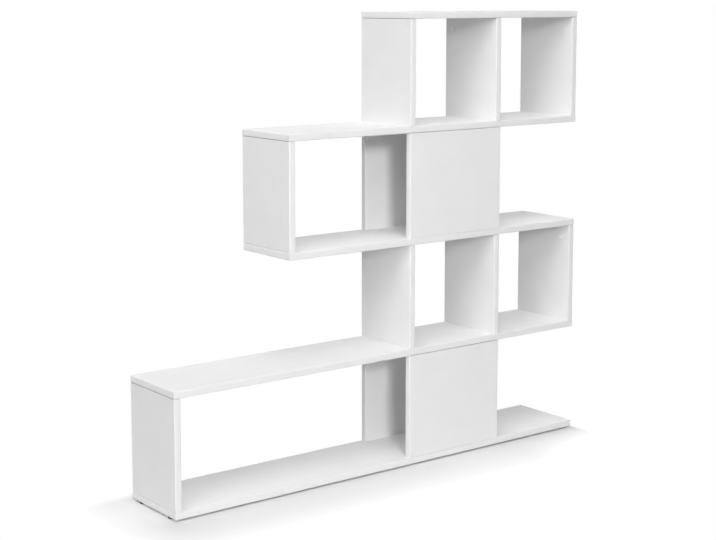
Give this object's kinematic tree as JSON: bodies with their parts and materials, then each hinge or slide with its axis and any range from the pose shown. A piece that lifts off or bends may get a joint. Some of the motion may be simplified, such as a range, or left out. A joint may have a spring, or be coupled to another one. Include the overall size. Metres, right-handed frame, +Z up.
{
  "type": "ladder bookcase",
  "caption": "Open stepped bookcase of white board: shelves that shorten upwards like stairs on upright panels, held by cam locks, with open cubes, bays and tunnels and black glides.",
  "frame": {"origin": "on the floor, under the middle of the length and of the depth", "axes": "+X along the length towards the tall end, +Y from the front to the back, +Z up"},
  "size_m": [1.345, 0.212, 1.223],
  "materials": {
    "white_melamine_board": "white melamine face, fine satin grain",
    "white_edge_band": "satin, corners milled round",
    "zinc_cam": "die-cast zinc",
    "steel_fastener": "zinc-plated",
    "beech_dowel": "raw",
    "black_plastic": "matte"
  },
  "bodies": {
    "root": {"top_board": "white_melamine_board", "second_board": "white_melamine_board", "third_board": "white_melamine_board", "fourth_board": "white_melamine_board", "bottom_board": "white_melamine_board", "tier1_left_panel": "white_melamine_board", "tier1_middle_panel": "white_melamine_board", "tier1_right_panel": "white_melamine_board", "tier3_left_panel": "white_melamine_board", "tier3_middle_panel": "white_melamine_board", "tier3_right_panel": "white_melamine_board", "tier2_end_panel": "white_melamine_board", "tier2_front_panel": "white_melamine_board", "tier2_back_panel": "white_melamine_board", "tier4_end_panel": "white_melamine_board", "tier4_front_panel": "white_melamine_board", "tier4_back_panel": "white_melamine_board", "top_board_edge_bands": "white_edge_band", "second_board_edge_bands": "white_edge_band", "third_board_edge_bands": "white_edge_band", "fourth_board_edge_bands": "white_edge_band", "bottom_board_edge_bands": "white_edge_band", "tier1_left_panel_edge_bands": "white_edge_band", "tier1_middle_panel_edge_bands": "white_edge_band", "tier1_right_panel_edge_bands": "white_edge_band", "tier3_left_panel_edge_bands": "white_edge_band", "tier3_middle_panel_edge_bands": "white_edge_band", "tier3_right_panel_edge_bands": "white_edge_band", "tier2_end_panel_edge_bands": "white_edge_band", "tier2_front_panel_edge_bands": "white_edge_band", "tier2_back_panel_edge_bands": "white_edge_band", "tier4_end_panel_edge_bands": "white_edge_band", "tier4_front_panel_edge_bands": "white_edge_band", "tier4_back_panel_edge_bands": "white_edge_band", "tier1_cam_locks": "zinc_cam", "tier2_cam_locks": "zinc_cam", "tier3_cam_locks": "zinc_cam", "tier4_cam_locks": "zinc_cam", "tier1_cam_bolts": "steel_fastener", "tier2_cam_bolts": "steel_fastener", "tier3_cam_bolts": "steel_fastener", "tier4_cam_bolts": "steel_fastener", "tier1_screws": "steel_fastener", "tier2_screws": "steel_fastener", "tier3_screws": "steel_fastener", "tier4_screws": "steel_fastener", "tier1_dowels": "beech_dowel", "tier2_dowels": "beech_dowel", "tier3_dowels": "beech_dowel", "tier4_dowels": "beech_dowel", "floor_glides": "black_plastic"}
  },
  "joints": []
}
